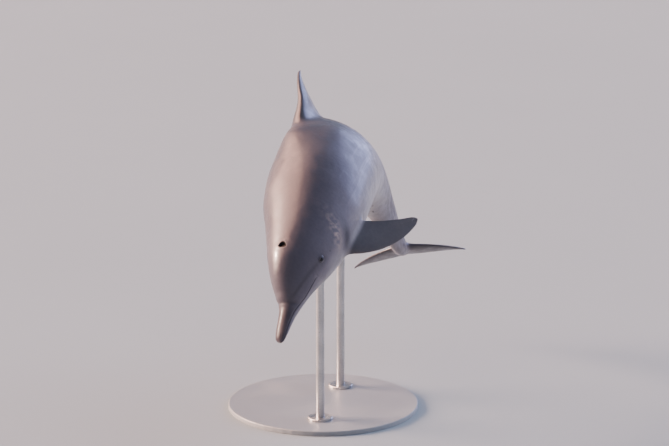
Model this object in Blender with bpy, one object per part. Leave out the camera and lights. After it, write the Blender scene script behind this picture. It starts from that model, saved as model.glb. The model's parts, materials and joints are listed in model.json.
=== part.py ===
# A bottlenose dolphin, life size, arched in a leap with its left side lifted, on a plain display stand.
# Metres, +Z up. The head points towards -Y, the animal's left side towards +X.
# The origin is the middle of the underside of the stand's base, on the floor.
#
# The animal is drawn straight first: x to its left, y backwards from the snout, z up from the body's axis.
# bend() then carries each point of the straight animal onto the curved spine, and an empty named
# dolphin_pose leans the whole animal and lifts it over the stand.

import math

import bmesh
import bpy
import numpy as np
from mathutils import Matrix, Vector

for item in list(bpy.data.objects):
    bpy.data.objects.remove(item, do_unlink=True)

# ---- Driving dimensions ----

GAP = 0.0003                # air between touching pieces
SPINE_END = 2.64            # the spine's table runs on past the fluke tips
UPPER_FACES = 10            # faces round each side of a ring, from the back down to the mouth line
LOWER_FACES = 6             # and from the mouth line down to the belly
RING_STEP = 0.050           # distance between rings on the trunk
RING_STEP_HEAD = 0.022      # and on the beak and head

# Profile of the straight body: distance behind the snout, back, belly, half width, narrowing of the back
PROFILE = {
    "snout_tip": (0.000, -0.047, -0.057, 0.011, 0.05),
    "tip_round": (0.012, -0.037, -0.065, 0.021, 0.05),
    "beak_front": (0.050, -0.028, -0.073, 0.029, 0.05),
    "beak_middle": (0.105, -0.021, -0.081, 0.034, 0.06),
    "beak_root": (0.152, -0.012, -0.089, 0.041, 0.08),
    "crease": (0.171, 0.000, -0.093, 0.047, 0.10),
    "melon_foot": (0.193, 0.023, -0.098, 0.054, 0.14),
    "melon_front": (0.224, 0.061, -0.105, 0.067, 0.16),
    "melon_top": (0.272, 0.104, -0.116, 0.087, 0.14),
    "eye": (0.338, 0.139, -0.134, 0.114, 0.10),
    "blowhole": (0.385, 0.152, -0.150, 0.132, 0.07),
    "neck": (0.490, 0.181, -0.184, 0.163, 0.03),
    "shoulder": (0.610, 0.216, -0.216, 0.190, 0.00),
    "chest": (0.735, 0.245, -0.240, 0.217, 0.00),
    "girth": (0.900, 0.258, -0.248, 0.227, 0.00),
    "fin_front": (1.050, 0.259, -0.244, 0.226, 0.00),
    "fin_middle": (1.220, 0.243, -0.228, 0.205, 0.04),
    "fin_rear": (1.440, 0.205, -0.202, 0.163, 0.08),
    "stock_root": (1.680, 0.161, -0.165, 0.118, 0.05),
    "stock": (1.920, 0.115, -0.110, 0.066, 0.00),
    "stock_narrow": (2.110, 0.077, -0.075, 0.040, 0.00),
    "fluke_root": (2.250, 0.046, -0.046, 0.031, 0.00),
    "fluke_middle": (2.330, 0.025, -0.025, 0.024, 0.00),
    "stock_end": (2.385, 0.008, -0.008, 0.008, 0.00),
}

# The back rises to the dorsal fin in a soft ridge: where it starts, is full, is full to, and ends
RIDGE = {"start": 0.820, "full": 1.060, "full_to": 1.420, "end": 1.700, "height": 0.034, "width": 0.082}

# Bend of the spine: distance behind the snout, nose-down pitch, yaw to the left, twist to the left, degrees
BEND = {
    "snout": (0.00, 39.0, -30.0, 4.0),
    "crease": (0.15, 33.0, -24.0, 4.0),
    "eye": (0.33, 23.5, -17.0, 5.0),
    "chest": (0.72, 14.3, -3.0, -2.0),
    "fin": (1.20, -5.8, 0.6, -10.9),
    "stock_root": (1.68, -44.0, 2.4, -4.0),
    "stock": (2.01, -69.0, 10.0, 9.0),
    "flukes": (2.26, -32.0, 12.0, 11.0),
    "fluke_tips": (2.50, -32.0, 12.0, 11.0),
}
LEAN = 20.6                 # the whole animal leans to its right, left side lifted, degrees
DIVE = 6.0                  # and the whole animal tips nose down, degrees
BALANCE = 1.00              # this far behind the snout the spine is over the middle of the base
BALANCE_HEIGHT = 1.05       # height of the spine there

# Where the animal is parted into its named pieces, distances behind the snout
CREASE = 0.171
GAPE = 0.318                # corner of the mouth
HEAD_END = 0.410
LENGTHS = {
    "neck": (HEAD_END, 0.540),
    "trunk_front": (0.540, 0.985),
    "trunk_rear": (0.985, 1.560),
    "tail_stock": (1.560, 2.385),
}

# Mouth line: distance behind the snout, height above the axis
MOUTH = {
    "tip": (0.000, -0.052),
    "beak": (0.080, -0.046),
    "beak_root": (0.150, -0.047),
    "dip": (0.220, -0.053),
    "gape": (0.318, -0.034),
}
MOUTH_CROWN = 0.002         # the closed lips meet on a slightly domed surface
REST_ANGLE = math.radians(112)    # behind the mouth, where a ring's upper and lower faces meet
REST_LENGTH = 0.16          # length over which the mouth line fades into that angle

EYE = {"behind": 0.384, "height": 0.010, "radius": 0.017, "sunk": 0.0115}
BLOWHOLE = {"behind": 0.366, "aside": 0.010, "width": 0.038, "length": 0.020, "depth": 0.015, "bow": 0.005}

# Fin outlines in their own plane as two Bezier edges from root to tip, (backwards, outwards)
DORSAL_FIN = {
    "lead": ((0.925, 0.205), (1.205, 0.296), (1.322, 0.458), (1.405, 0.512)),
    "trail": ((1.500, 0.165), (1.385, 0.285), (1.342, 0.420), (1.412, 0.508)),
    "root": 0.125,          # half thickness where it flares into the back
    "mid": 0.0120,
    "tip": 0.0036,
    "flare": 0.46,          # share of the span over which the flare dies away
}
# The upper part of the dorsal fin leans to the animal's left and turns its leading edge that way
DORSAL_LEAN = {"from": 0.267, "to": 0.389, "aside": 0.023, "turn": 0.16, "pivot": 1.300}
FLUKE = {
    "lead": ((2.215, 0.000), (2.270, 0.130), (2.385, 0.235), (2.492, 0.288)),
    "trail": ((2.392, 0.000), (2.445, 0.060), (2.425, 0.200), (2.500, 0.283)),
    "root": 0.024,
    "mid": 0.012,
    "tip": 0.003,
    "flare": 0.25,
}
FLIPPER = {
    "lead": ((0.000, -0.040), (0.004, 0.160), (0.080, 0.290), (0.205, 0.372)),
    "trail": ((0.170, -0.040), (0.150, 0.100), (0.185, 0.240), (0.225, 0.355)),
    "root": 0.030,
    "mid": 0.014,
    "tip": 0.004,
    "flare": 0.30,
}
# Flipper root on the straight body, and how the blade is turned: swept back, drooped, twisted, in degrees
FLIPPER_ROOT = {"behind": 0.540, "side": 0.128, "height": -0.116}
FLIPPER_TURN = {"sweep": 20.0, "droop": 48.0, "twist": 23.0}

FIN_SECTIONS = 10
FIN_FACES = 7               # faces from leading to trailing edge, each side
FIN_EDGE = 0.0008           # half thickness left along the trailing edge

# Stand
BASE_RADIUS = 0.44
BASE_THICKNESS = 0.022
BASE_BEVEL = 0.004
ROD_RADIUS = 0.019
ROD_FEET = {"front": (0.040, -0.250), "rear": (0.030, 0.250)}
ROD_REACH = 0.96            # a rod is drawn up into the body, then cut off at the belly
FLANGE_RADIUS = 0.056
FLANGE_HEIGHT = 0.010
FLANGE_BEVEL = 0.002
BASE_FACES = 56
ROD_FACES = 24

COLOURS = {
    "back": (0.115, 0.112, 0.135, 0.32),
    "dark": (0.062, 0.060, 0.078, 0.35),
    "eye": (0.012, 0.009, 0.008, 0.08),
    "steel": (0.560, 0.565, 0.570, 0.28),
    "base": (0.300, 0.310, 0.320, 0.45),
}


# ---- Curves ----

def through(x, keys, values):
    """Smooth curve through the keys that never overshoots them."""
    x = np.asarray(x, float)
    keys = np.asarray(keys, float)
    values = np.asarray(values, float)
    width = np.diff(keys)
    rise = np.diff(values) / width
    slope = np.zeros(len(keys))
    slope[0] = rise[0]
    slope[-1] = rise[-1]
    for i in range(1, len(keys) - 1):
        if rise[i - 1] * rise[i] > 0:
            before = 2 * width[i] + width[i - 1]
            after = width[i] + 2 * width[i - 1]
            slope[i] = (before + after) / (before / rise[i - 1] + after / rise[i])
    i = np.clip(np.searchsorted(keys, x) - 1, 0, len(keys) - 2)
    t = np.clip((x - keys[i]) / width[i], 0, 1)
    return (
        (1 + 2 * t) * (1 - t) ** 2 * values[i]
        + t * (1 - t) ** 2 * width[i] * slope[i]
        + t * t * (3 - 2 * t) * values[i + 1]
        + t * t * (t - 1) * width[i] * slope[i + 1]
    )


def column(table, index):
    return [row[index] for row in table.values()]


def bezier(points, t):
    a, b, c, d = (np.asarray(p, float) for p in points)
    return a * (1 - t) ** 3 + 3 * b * t * (1 - t) ** 2 + 3 * c * t * t * (1 - t) + d * t ** 3


def fade(t):
    t = min(max(t, 0.0), 1.0)
    return t * t * (3 - 2 * t)


# ---- The straight body ----

def profile(y):
    """Back, belly, half width and narrowing of the body at a distance behind the snout."""
    behind = column(PROFILE, 0)
    return [float(through(y, behind, column(PROFILE, k))) for k in (1, 2, 3, 4)]


def mouth_height(y):
    return float(through(y, column(MOUTH, 0), column(MOUTH, 1)))


def mouth_angle(y):
    """Angle down from the back at which a ring crosses the mouth line."""
    back, belly, _, _ = profile(min(y, GAPE))
    middle, half = (back + belly) / 2, (back - belly) / 2
    at_mouth = math.acos(max(-0.95, min(0.95, (mouth_height(min(y, GAPE)) - middle) / half)))
    return at_mouth + (REST_ANGLE - at_mouth) * fade((y - GAPE) / REST_LENGTH)


def ridge_height(y):
    rising = fade((y - RIDGE["start"]) / (RIDGE["full"] - RIDGE["start"]))
    falling = fade((RIDGE["end"] - y) / (RIDGE["end"] - RIDGE["full_to"]))
    return RIDGE["height"] * rising * falling


def surface(y, angle):
    """Point of the straight body's skin, the angle measured down its left side from the back."""
    back, belly, half_width, narrowing = profile(y)
    middle, half = (back + belly) / 2, (back - belly) / 2
    side = half_width * math.sin(angle) * (1 - narrowing * math.cos(angle))
    rise = ridge_height(y) * math.exp(-((side / RIDGE["width"]) ** 2)) if angle < math.pi / 2 else 0.0
    return Vector((side, y, middle + half * math.cos(angle) + rise))


def surface_normal(y, angle):
    step = 0.002
    along = surface(y + step, angle) - surface(y - step, angle)
    down = surface(y, angle + step) - surface(y, angle - step)
    return down.cross(along).normalized()


def ring(y, part="whole"):
    """One ring of the body, or only its part above or below the closed mouth."""
    split = mouth_angle(y)
    angles = [split * j / UPPER_FACES for j in range(UPPER_FACES + 1)]
    angles += [split + (math.pi - split) * j / LOWER_FACES for j in range(1, LOWER_FACES + 1)]
    left = [surface(y, angle) for angle in angles]
    lip = left[UPPER_FACES]
    for j, point in enumerate(left):
        domed = lip.z + MOUTH_CROWN * (1 - (point.x / lip.x) ** 2)
        if part == "upper" and j >= UPPER_FACES:
            point.z = domed + GAP / 2
        if part == "lower" and j <= UPPER_FACES:
            point.z = domed - GAP / 2
    right = [Vector((-p.x, p.y, p.z)) for p in left[-2:0:-1]]
    return left + right


def ring_places(start, stop):
    """Distances of the rings between two cuts, closer on the beak and head."""
    places = [start]
    while places[-1] < stop - 1e-6:
        step = RING_STEP_HEAD if places[-1] < HEAD_END else RING_STEP
        if stop - places[-1] < 1.5 * step:
            places.append(stop)
        else:
            places.append(places[-1] + step)
    return places


def snout_places(start, stop):
    """The first rings are close together, to round the snout."""
    return [start, 0.004, 0.010, 0.020] + ring_places(0.033, stop)


def loft(rings):
    """Closed mesh through rings of equal point counts, capped at both ends."""
    bm = bmesh.new()
    rows = [[bm.verts.new(p) for p in points] for points in rings]
    count = len(rows[0])
    for a, b in zip(rows, rows[1:]):
        for j in range(count):
            k = (j + 1) % count
            bm.faces.new((a[j], a[k], b[k], b[j]))
    bm.faces.new(rows[0][::-1])
    bm.faces.new(rows[-1])
    bmesh.ops.recalc_face_normals(bm, faces=bm.faces)
    return bm


# ---- The bend ----

def spine():
    """Centre, left and up directions along the bent spine."""
    reach = np.linspace(0, SPINE_END, 529)
    behind = column(BEND, 0)
    pitch, yaw, twist = (
        np.radians(through(np.minimum(reach, behind[-1]), behind, column(BEND, k))) for k in (1, 2, 3)
    )
    ahead = np.stack([np.cos(pitch) * np.sin(yaw), -np.cos(pitch) * np.cos(yaw), -np.sin(pitch)], 1)
    up = np.stack([np.sin(pitch) * np.sin(yaw), -np.sin(pitch) * np.cos(yaw), np.cos(pitch)], 1)
    left = np.cross(up, ahead)
    turn_cos, turn_sin = np.cos(twist)[:, None], np.sin(twist)[:, None]
    up, left = up * turn_cos + left * turn_sin, left * turn_cos - up * turn_sin
    steps = -(ahead[1:] + ahead[:-1]) / 2 * (reach[1] - reach[0])
    centre = np.concatenate([np.zeros((1, 3)), np.cumsum(steps, axis=0)])
    balance = [np.interp(BALANCE, reach, centre[:, k]) for k in range(3)]
    return reach, centre - balance, left, up


SPINE = spine()


def bend(point):
    """A point of the straight animal, carried onto the bent spine."""
    reach, centre, left, up = SPINE
    at = [np.array([np.interp(point.y, reach, table[:, k]) for k in range(3)]) for table in (centre, left, up)]
    return Vector(at[0] + point.x * at[1] + point.z * at[2])


# ---- Objects ----

def material(name):
    found = bpy.data.materials.get(name)
    if found:
        return found
    red, green, blue, roughness = COLOURS[name.split("_")[0]]
    made = bpy.data.materials.new(name)
    made.use_nodes = True
    made.diffuse_color = (red, green, blue, 1)
    shader = made.node_tree.nodes["Principled BSDF"]
    shader.inputs["Base Color"].default_value = (red, green, blue, 1)
    shader.inputs["Roughness"].default_value = roughness
    shader.inputs["Metallic"].default_value = 1.0 if name.startswith("steel") else 0.0
    return made


def add_object(name, bm, look, parent=None):
    mesh = bpy.data.meshes.new(name)
    bm.to_mesh(mesh)
    bm.free()
    mesh.materials.append(material(look + "_" + name))
    made = bpy.data.objects.new(name, mesh)
    bpy.context.scene.collection.objects.link(made)
    made.parent = parent
    return made


def cut(target, cutters):
    """Cuts closed meshes out of an object and keeps the result as its mesh."""
    for cutter in cutters:
        cutter.hide_render = True
        cutter.display_type = "WIRE"
        step = target.modifiers.new("cut", "BOOLEAN")
        step.operation = "DIFFERENCE"
        step.solver = "EXACT"
        step.object = cutter
    bpy.context.view_layer.update()
    seen = target.evaluated_get(bpy.context.evaluated_depsgraph_get())
    mesh = bpy.data.meshes.new_from_object(seen)
    target.modifiers.clear()
    target.data = mesh


def finish(target, pose, sharp=40):
    """Bends the finished straight piece, poses it with the animal and shades it smooth."""
    target.parent = pose
    for vertex in target.data.vertices:
        vertex.co = bend(vertex.co)
    target.data.shade_smooth()
    target.data.set_sharp_from_angle(angle=math.radians(sharp))


def swollen_body():
    """The whole straight body, larger all round by the gap: what the fins' roots are cut by."""
    places = snout_places(0.0, HEAD_END - GAP / 2)
    for start, stop in LENGTHS.values():
        places += ring_places(start + GAP / 2, stop - GAP / 2)
    bm = loft([ring(y) for y in places])
    bm.normal_update()
    for vertex, normal in [(v, v.normal.copy()) for v in bm.verts]:
        vertex.co += normal * GAP * 1.2
    return add_object("guide_body", bm, "back")


# ---- Body pieces ----

def add_body():
    made = {}
    made["beak_upper"] = [ring(y, "upper") for y in snout_places(0.0, CREASE - GAP / 2)]
    made["jaw_lower"] = [ring(y, "lower") for y in snout_places(0.0, GAPE - GAP)]
    made["head"] = [ring(y, "upper") for y in ring_places(CREASE + GAP / 2, GAPE)]
    made["head"] += [ring(y) for y in ring_places(GAPE + 0.001, HEAD_END - GAP / 2)]
    for name, (start, stop) in LENGTHS.items():
        made[name] = [ring(y) for y in ring_places(start + GAP / 2, stop - GAP / 2)]
    return {name: add_object(name, loft(rings), "back") for name, rings in made.items()}


def ball(name, centre, radius):
    bm = bmesh.new()
    bmesh.ops.create_uvsphere(bm, u_segments=16, v_segments=10, radius=radius)
    bmesh.ops.translate(bm, verts=bm.verts, vec=centre)
    return add_object(name, bm, "eye")


def eye_angle():
    back, belly, _, _ = profile(EYE["behind"])
    return math.acos((EYE["height"] - (back + belly) / 2) / ((back - belly) / 2))


def add_eyes(head):
    """Eyeballs sunk in sockets that are cut to them."""
    made = []
    sockets = []
    point = surface(EYE["behind"], eye_angle())
    inwards = -surface_normal(EYE["behind"], eye_angle())
    for side, sign in (("left", 1), ("right", -1)):
        centre = point + inwards * EYE["sunk"]
        centre.x *= sign
        made.append(ball("eye_" + side, centre, EYE["radius"]))
        sockets.append(ball("guide_socket_" + side, centre, EYE["radius"] + GAP * 1.5))
    cut(head, sockets)
    return made, sockets


def blowhole_cutter():
    """A bowed slit across the top of the head, its ends bent forwards."""
    top = surface(BLOWHOLE["behind"], 0.0)
    rings = []
    count = 9
    for i in range(count):
        t = -1 + 2 * i / (count - 1)
        width = BLOWHOLE["length"] / 2 * math.sqrt(max(0.08, 1 - t * t))
        aside = BLOWHOLE["aside"] + t * BLOWHOLE["width"] / 2
        centre = Vector((aside, top.y - BLOWHOLE["bow"] * t * t, top.z))
        depth = BLOWHOLE["depth"] * math.sqrt(max(0.15, 1 - t * t))
        corners = [(-width, 0.02), (width, 0.02), (width * 0.6, -depth), (-width * 0.6, -depth)]
        rings.append([centre + Vector((0, y, z)) for y, z in corners])
    return add_object("guide_blowhole", loft(rings), "dark")


# ---- Fins ----

def thickness(fin, t):
    """Half thickness at a share of the span: a thin blade that flares at its root."""
    blade = fin["mid"] + (fin["tip"] - fin["mid"]) * max(0.0, t) ** 1.3
    return blade + (fin["root"] - fin["mid"]) * math.exp(-t / fin["flare"] * 2)


def section(chord, half):
    """Half thickness of a blade at a share of its chord: full in front, thin behind."""
    full = 2.969 * math.sqrt(chord) - 1.260 * chord - 3.516 * chord ** 2 + 2.843 * chord ** 3 - 1.036 * chord ** 4
    return max(half * full, FIN_EDGE)


def blade(fin, place, flat_root=False):
    """Loft of blade sections; place(backwards, outwards, across) gives a point of the straight animal."""
    rings = []
    for i in range(FIN_SECTIONS + 1):
        t = math.sin(math.pi / 2 * i / FIN_SECTIONS) if i else 0.0
        front, back = bezier(fin["lead"], t), bezier(fin["trail"], t)
        if flat_root and i == 0:
            front[1] = back[1] = 0.0
        half = thickness(fin, t)
        upper, lower = [], []
        for j in range(1, FIN_FACES + 1):
            chord = (1 - math.cos(math.pi * j / FIN_FACES)) / 2
            backwards, outwards = front + (back - front) * chord
            across = section(chord, half)
            upper.append(place(backwards, outwards, across))
            lower.append(place(backwards, outwards, -across))
        rings.append([place(front[0], front[1], 0.0)] + upper + lower[::-1])
    return loft(rings)


def place_dorsal(backwards, outwards, across):
    high = fade((outwards - DORSAL_LEAN["from"]) / (DORSAL_LEAN["to"] - DORSAL_LEAN["from"]))
    leaning = DORSAL_LEAN["aside"] - DORSAL_LEAN["turn"] * (backwards - DORSAL_LEAN["pivot"])
    return Vector((across + high * leaning, backwards, outwards))


def place_fluke(sign):
    def place(backwards, outwards, across):
        return Vector((sign * (outwards + GAP / 2), backwards, across))
    return place


def place_flipper(sign):
    sweep, droop, twist = (math.radians(FLIPPER_TURN[k]) for k in ("sweep", "droop", "twist"))
    outwards_axis = Vector((math.cos(sweep) * math.cos(droop), math.sin(sweep), -math.cos(sweep) * math.sin(droop)))
    level = (Vector((0, 1, 0)) - outwards_axis * outwards_axis.y).normalized()
    across = outwards_axis.cross(level)
    chord_axis = level * math.cos(twist) + across * math.sin(twist)
    across_axis = outwards_axis.cross(chord_axis)
    root = Vector((FLIPPER_ROOT["side"], FLIPPER_ROOT["behind"], FLIPPER_ROOT["height"]))

    def place(backwards, outwards, across):
        point = root + chord_axis * backwards + outwards_axis * outwards + across_axis * across
        point.x *= sign
        return point
    return place


def add_fins(body):
    made = [add_object("dorsal_fin", blade(DORSAL_FIN, place_dorsal), "dark")]
    for side, sign in (("left", 1), ("right", -1)):
        made.append(add_object("flipper_" + side, blade(FLIPPER, place_flipper(sign)), "dark"))
        made.append(add_object("fluke_" + side, blade(FLUKE, place_fluke(sign), True), "dark"))
    for fin in made:
        cut(fin, [body])
    return made


# ---- Stand ----

def turned(outline, faces, bored=False):
    """Solid turned round the Z axis from (radius, height) points, a ring if the outline goes round a bore."""
    bm = bmesh.new()
    rows = []
    for radius, height in outline:
        turns = [2 * math.pi * j / faces for j in range(faces)]
        rows.append([bm.verts.new((radius * math.cos(a), radius * math.sin(a), height)) for a in turns])
    for a, b in zip(rows, rows[1:] + rows[:1] if bored else rows[1:]):
        for j in range(faces):
            k = (j + 1) % faces
            bm.faces.new((a[j], a[k], b[k], b[j]))
    if not bored:
        bm.faces.new(rows[0][::-1])
        bm.faces.new(rows[-1])
    bmesh.ops.recalc_face_normals(bm, faces=bm.faces)
    return bm


def shade(target):
    target.data.shade_smooth()
    target.data.set_sharp_from_angle(angle=math.radians(35))


def add_stand(body):
    stand = bpy.data.objects.new("stand", None)
    bpy.context.scene.collection.objects.link(stand)
    top = BASE_THICKNESS
    outline = [
        (BASE_RADIUS - BASE_BEVEL / 2, 0),
        (BASE_RADIUS, BASE_BEVEL / 2),
        (BASE_RADIUS, top - BASE_BEVEL),
        (BASE_RADIUS - BASE_BEVEL * 0.3, top - BASE_BEVEL * 0.3),
        (BASE_RADIUS - BASE_BEVEL, top),
    ]
    shade(add_object("stand_base", turned(outline, BASE_FACES), "base", stand))
    bore = ROD_RADIUS + GAP
    collar = [
        (bore, 0),
        (FLANGE_RADIUS, 0),
        (FLANGE_RADIUS, FLANGE_HEIGHT - FLANGE_BEVEL),
        (FLANGE_RADIUS - FLANGE_BEVEL, FLANGE_HEIGHT),
        (bore, FLANGE_HEIGHT),
    ]
    for where, (x, y) in ROD_FEET.items():
        flange = add_object("stand_flange_" + where, turned(collar, ROD_FACES, True), "steel", stand)
        flange.location = (x, y, top + GAP)
        shade(flange)
        shaft = turned([(ROD_RADIUS, 0), (ROD_RADIUS, ROD_REACH)], ROD_FACES)
        rod = add_object("stand_rod_" + where, shaft, "steel", stand)
        rod.location = (x, y, top + GAP)
        shade(rod)
        step = rod.modifiers.new("cut to the belly", "BOOLEAN")
        step.operation = "DIFFERENCE"
        step.solver = "EXACT"
        step.object = body


# ---- Assembly ----

def main():
    pose = bpy.data.objects.new("dolphin_pose", None)
    bpy.context.scene.collection.objects.link(pose)
    lean = Matrix.Rotation(-math.radians(LEAN), 4, "Y")
    dive = Matrix.Rotation(math.radians(DIVE), 4, "X")
    pose.matrix_world = Matrix.Translation((0, 0, BALANCE_HEIGHT)) @ dive @ lean

    guide = swollen_body()
    body = add_body()
    eyes, sockets = add_eyes(body["head"])
    slit = blowhole_cutter()
    cut(body["head"], [slit])
    fins = add_fins(guide)
    for piece in list(body.values()) + eyes + fins:
        finish(piece, pose)
    for used in sockets + [slit]:
        bpy.data.objects.remove(used, do_unlink=True)

    finish(guide, pose)
    add_stand(guide)


main()
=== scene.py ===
import json
import math

import bmesh
import bpy
import numpy as np
from mathutils import Matrix, Vector, noise
from mathutils.bvhtree import BVHTree
from mathutils.kdtree import KDTree

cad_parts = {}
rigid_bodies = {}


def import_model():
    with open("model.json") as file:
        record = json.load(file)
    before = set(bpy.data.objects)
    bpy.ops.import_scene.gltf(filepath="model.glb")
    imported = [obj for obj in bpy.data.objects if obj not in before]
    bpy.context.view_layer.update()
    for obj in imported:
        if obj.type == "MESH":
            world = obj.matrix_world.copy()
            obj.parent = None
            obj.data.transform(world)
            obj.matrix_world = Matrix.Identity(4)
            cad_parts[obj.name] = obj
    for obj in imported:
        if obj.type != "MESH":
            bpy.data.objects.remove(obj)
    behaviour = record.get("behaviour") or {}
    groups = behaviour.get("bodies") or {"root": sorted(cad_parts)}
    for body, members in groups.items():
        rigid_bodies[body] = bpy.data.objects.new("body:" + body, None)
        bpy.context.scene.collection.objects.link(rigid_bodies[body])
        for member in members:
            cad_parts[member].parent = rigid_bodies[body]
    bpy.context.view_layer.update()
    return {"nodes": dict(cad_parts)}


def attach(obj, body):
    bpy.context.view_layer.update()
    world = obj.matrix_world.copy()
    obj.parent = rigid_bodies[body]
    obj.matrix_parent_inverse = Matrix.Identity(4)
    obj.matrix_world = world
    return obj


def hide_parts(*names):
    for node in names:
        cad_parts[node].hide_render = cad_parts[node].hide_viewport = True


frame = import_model()
print("frame loaded:", len(frame["nodes"]), "nodes")

# The animal is drawn straight first: x to its left, y backwards from the snout, z up from its axis,
# with the same sizes as its solids. bendPoints() carries it onto the curved spine at the end.
bodySizes = {
    # distance behind the snout, back, belly, half width, narrowing of the back
    "profile": [
        (0.000, -0.047, -0.057, 0.011, 0.05),
        (0.012, -0.037, -0.065, 0.021, 0.05),
        (0.050, -0.028, -0.073, 0.029, 0.05),
        (0.105, -0.021, -0.081, 0.034, 0.06),
        (0.152, -0.012, -0.089, 0.041, 0.08),
        (0.171, 0.000, -0.093, 0.047, 0.10),
        (0.193, 0.023, -0.098, 0.054, 0.14),
        (0.224, 0.061, -0.105, 0.067, 0.16),
        (0.272, 0.104, -0.116, 0.087, 0.14),
        (0.338, 0.139, -0.134, 0.114, 0.10),
        (0.385, 0.152, -0.150, 0.132, 0.07),
        (0.490, 0.181, -0.184, 0.163, 0.03),
        (0.610, 0.216, -0.216, 0.190, 0.00),
        (0.735, 0.245, -0.240, 0.217, 0.00),
        (0.900, 0.258, -0.248, 0.227, 0.00),
        (1.050, 0.259, -0.244, 0.226, 0.00),
        (1.220, 0.243, -0.228, 0.205, 0.04),
        (1.440, 0.205, -0.202, 0.163, 0.08),
        (1.680, 0.161, -0.165, 0.118, 0.05),
        (1.920, 0.115, -0.110, 0.066, 0.00),
        (2.110, 0.077, -0.075, 0.040, 0.00),
        (2.250, 0.046, -0.046, 0.031, 0.00),
        (2.330, 0.025, -0.025, 0.024, 0.00),
        (2.385, 0.008, -0.008, 0.008, 0.00),
    ],
    "mouth": [(0.000, -0.052), (0.080, -0.046), (0.150, -0.047), (0.220, -0.053), (0.318, -0.034)],
    "mouthLimit": 0.95,     # how near the mouth line may come to the back or the belly
    "gape": 0.318,
    # behind the mouth, the middle column of faces swings to this angle over this length
    "restAngle": math.radians(112),
    "restLength": 0.16,
    "ridge": {"start": 0.820, "full": 1.060, "fullTo": 1.420, "end": 1.700, "height": 0.034, "width": 0.082},
    "headEnd": 0.45,
    "tailEnd": 2.385,
    "noseRound": 0.004,     # the snout is rounded over this length
    "noseRings": (0.25, 0.5, 0.72, 0.88, 0.96),
    "tailTip": 0.003,
    "headStep": 0.0024,
    "bodyStep": 0.0090,
    "upperFaces": 54,
    "lowerFaces": 34,
    "crowding": 0.62,       # how far the columns crowd towards the mouth line
    "quickStep": 2,
}

spineSizes = {
    # distance behind the snout, nose-down pitch, yaw, twist, in degrees
    "bend": [
        (0.00, 39.0, -30.0, 4.0),
        (0.15, 33.0, -24.0, 4.0),
        (0.33, 23.5, -17.0, 5.0),
        (0.72, 14.3, -3.0, -2.0),
        (1.20, -5.8, 0.6, -10.9),
        (1.68, -44.0, 2.4, -4.0),
        (2.01, -69.0, 10.0, 9.0),
        (2.26, -32.0, 12.0, 11.0),
        (2.50, -32.0, 12.0, 11.0),
    ],
    "end": 2.64,
    "steps": 528,
    "lean": 20.6,
    "dive": 6.0,
    "balance": 1.00,
    "balanceHeight": 1.05,
}


def through(x, keys, values):
    # smooth curve through the keys that never overshoots them
    x, keys, values = (np.asarray(a, float) for a in (x, keys, values))
    width = np.diff(keys)
    rise = np.diff(values) / width
    slope = np.zeros(len(keys))
    slope[0], slope[-1] = rise[0], rise[-1]
    for i in range(1, len(keys) - 1):
        if rise[i - 1] * rise[i] > 0:
            before = 2 * width[i] + width[i - 1]
            after = width[i] + 2 * width[i - 1]
            slope[i] = (before + after) / (before / rise[i - 1] + after / rise[i])
    i = np.clip(np.searchsorted(keys, x) - 1, 0, len(keys) - 2)
    t = np.clip((x - keys[i]) / width[i], 0, 1)
    return (
        (1 + 2 * t) * (1 - t) ** 2 * values[i]
        + t * (1 - t) ** 2 * width[i] * slope[i]
        + t * t * (3 - 2 * t) * values[i + 1]
        + t * t * (t - 1) * width[i] * slope[i + 1]
    )


def fade(t):
    t = np.clip(t, 0.0, 1.0)
    return t * t * (3 - 2 * t)


def ramp(x, low, high):
    return fade((x - low) / (high - low))


def bell(x, width):
    return np.exp(-((x / width) ** 2))


def column(rows, index):
    return [row[index] for row in rows]


def profileAt(y):
    rows = bodySizes["profile"]
    return [through(y, column(rows, 0), column(rows, k)) for k in (1, 2, 3, 4)]


def mouthHeight(y):
    rows = bodySizes["mouth"]
    return through(np.minimum(y, bodySizes["gape"]), column(rows, 0), column(rows, 1))


def mouthAngle(y):
    y = np.asarray(y, float)
    held = np.minimum(y, bodySizes["gape"])
    back, belly, _, _ = profileAt(held)
    middle, half = (back + belly) / 2, (back - belly) / 2
    limit = bodySizes["mouthLimit"]
    atMouth = np.arccos(np.clip((mouthHeight(held) - middle) / half, -limit, limit))
    past = fade((y - bodySizes["gape"]) / bodySizes["restLength"])
    return atMouth + (bodySizes["restAngle"] - atMouth) * past


def ridgeHeight(y):
    r = bodySizes["ridge"]
    return r["height"] * ramp(y, r["start"], r["full"]) * fade((r["end"] - y) / (r["end"] - r["fullTo"]))


def surfaceAt(y, angle):
    # points of the straight body's skin, the angle measured down its left side from the back
    back, belly, halfWidth, narrowing = profileAt(y)
    middle, half = (back + belly) / 2, (back - belly) / 2
    side = halfWidth * np.sin(angle) * (1 - narrowing * np.cos(angle))
    rise = np.where(np.cos(angle) > 0, ridgeHeight(y) * bell(side, bodySizes["ridge"]["width"]), 0.0)
    return np.stack([side, y + 0 * angle, middle + half * np.cos(angle) + rise], -1)


def meshFrom(name, points, faces):
    mesh = bpy.data.meshes.new(name)
    mesh.from_pydata([tuple(p) for p in points], [], faces)
    mesh.validate()
    bm = bmesh.new()
    bm.from_mesh(mesh)
    bmesh.ops.recalc_face_normals(bm, faces=bm.faces)
    bm.to_mesh(mesh)
    bm.free()
    return mesh


def gridFaces(rows, count):
    # quads between closed rings of equal point counts, numbered row by row
    return [
        (i * count + j, i * count + (j + 1) % count, (i + 1) * count + (j + 1) % count, (i + 1) * count + j)
        for i in range(rows - 1) for j in range(count)
    ]


def addObject(name, data):
    made = bpy.data.objects.new(name, data)
    bpy.context.scene.collection.objects.link(made)
    return made


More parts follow.
